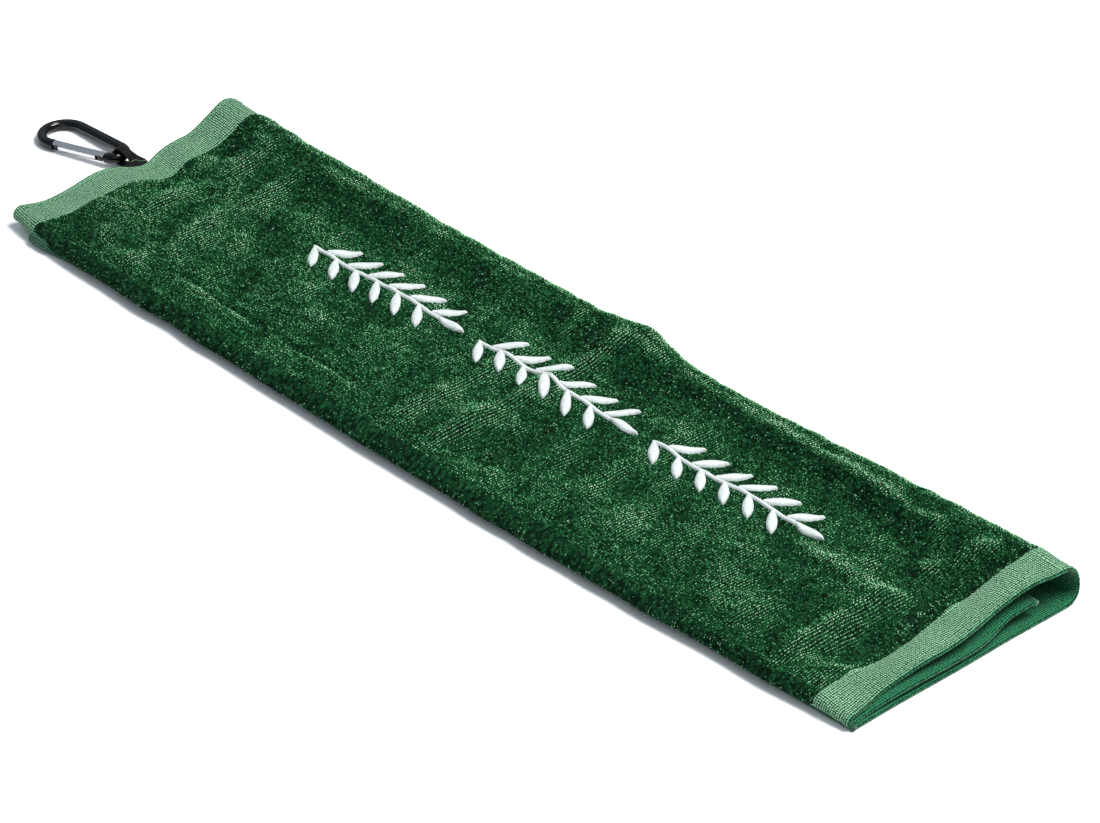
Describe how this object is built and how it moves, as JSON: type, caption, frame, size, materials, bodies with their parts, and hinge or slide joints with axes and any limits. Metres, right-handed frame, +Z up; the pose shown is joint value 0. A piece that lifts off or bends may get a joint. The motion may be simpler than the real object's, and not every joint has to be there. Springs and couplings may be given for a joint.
{
  "type": "golf towel",
  "caption": "Terry towel folded lengthwise in thirds, flat woven end bands, leafy satin-stitch ornament, and a webbing strap with a small snap clip at one end.",
  "frame": {"origin": "middle of the towel's underside, where the back panel rests on the floor, midway between its two ends and its two folds", "axes": "+X along the towel to the open end, away from the clip; +Y across the towel to the thick far fold; +Z up, out of the front panel"},
  "size_m": [0.6191, 0.146, 0.02],
  "materials": {
    "pile": "dark green cotton terry velour",
    "hem": "lighter green flat weave with a diagonal rib",
    "thread_green": "green cotton sewing thread",
    "thread_white": "white satin stitch with a silky sheen",
    "webbing": "black woven webbing",
    "gloss_black": "glossy black enamel on aluminium",
    "bright_metal": "bright satin silver",
    "spring_steel": "plain drawn steel"
  },
  "bodies": {
    "back": {"back_panel": "pile", "back_hem_clip_end": "hem", "back_hem_open_end": "hem", "back_side_hem": "hem", "back_hem_stitching": "thread_green", "far_fold": "pile", "far_fold_hem_clip_end": "hem", "far_fold_hem_open_end": "hem"},
    "front": {"front_panel": "pile", "front_hem_clip_end": "hem", "front_hem_open_end": "hem", "front_hem_stitching": "thread_green", "embroidery": "thread_white", "near_fold": "pile", "near_fold_hem_clip_end": "hem", "near_fold_hem_open_end": "hem", "strap_tail": "webbing", "strap_tack": "thread_green"},
    "inner": {"inner_panel": "pile", "inner_hem_clip_end": "hem", "inner_hem_open_end": "hem", "inner_side_hem": "hem", "inner_hem_stitching": "thread_green"},
    "strap": {"strap_loop": "webbing"},
    "clip": {"clip_frame": "gloss_black"},
    "gate": {"gate": "bright_metal", "gate_pin": "bright_metal", "nose_pin": "bright_metal", "gate_spring": "spring_steel"},
    "plunger": {"gate_plunger": "spring_steel"}
  },
  "joints": [
    {"name": "far_fold", "type": "hinge", "parent": "back", "child": "front", "pos_m": [0, 0.063, 0.01], "axis": [-1, 0, 0], "range_deg": [0, 180], "deforming": ["far_fold", "far_fold_hem_clip_end", "far_fold_hem_open_end"]},
    {"name": "near_fold", "type": "hinge", "parent": "front", "child": "inner", "pos_m": [0, -0.06925, 0.00725], "axis": [-1, 0, 0], "range_deg": [0, 180], "deforming": ["near_fold", "near_fold_hem_clip_end", "near_fold_hem_open_end", "inner_panel", "inner_hem_clip_end", "inner_hem_open_end", "inner_side_hem", "inner_hem_stitching"]},
    {"name": "strap_flex", "type": "hinge", "parent": "front", "child": "strap", "pos_m": [-0.2775, 0.005, 0.00735], "axis": [0, 1, 0], "range_deg": [-75, 90]},
    {"name": "clip_swing", "type": "hinge", "parent": "strap", "child": "clip", "pos_m": [-0.291, 0.0076, 0.00495], "axis": [-0.1513, 0.9885, 0], "range_deg": [-90, 90]},
    {"name": "gate_hinge", "type": "hinge", "parent": "clip", "child": "gate", "pos_m": [-0.29751, 0.00022, 0.00458], "axis": [0.0483, 0.0074, -0.9988], "range_deg": [0, 25], "stiffness_Nm_per_rad": 0.03, "springref_deg": -28.65},
    {"name": "plunger_slide", "type": "slide", "parent": "gate", "child": "plunger", "axis": [-0.953, -0.2991, -0.0483], "range_m": [0, 0.00045], "deforming": ["gate_spring"]}
  ],
  "couplings": [
    {"joint": "plunger_slide", "follows": "gate_hinge", "m_per_rad": 0.0010303}
  ]
}
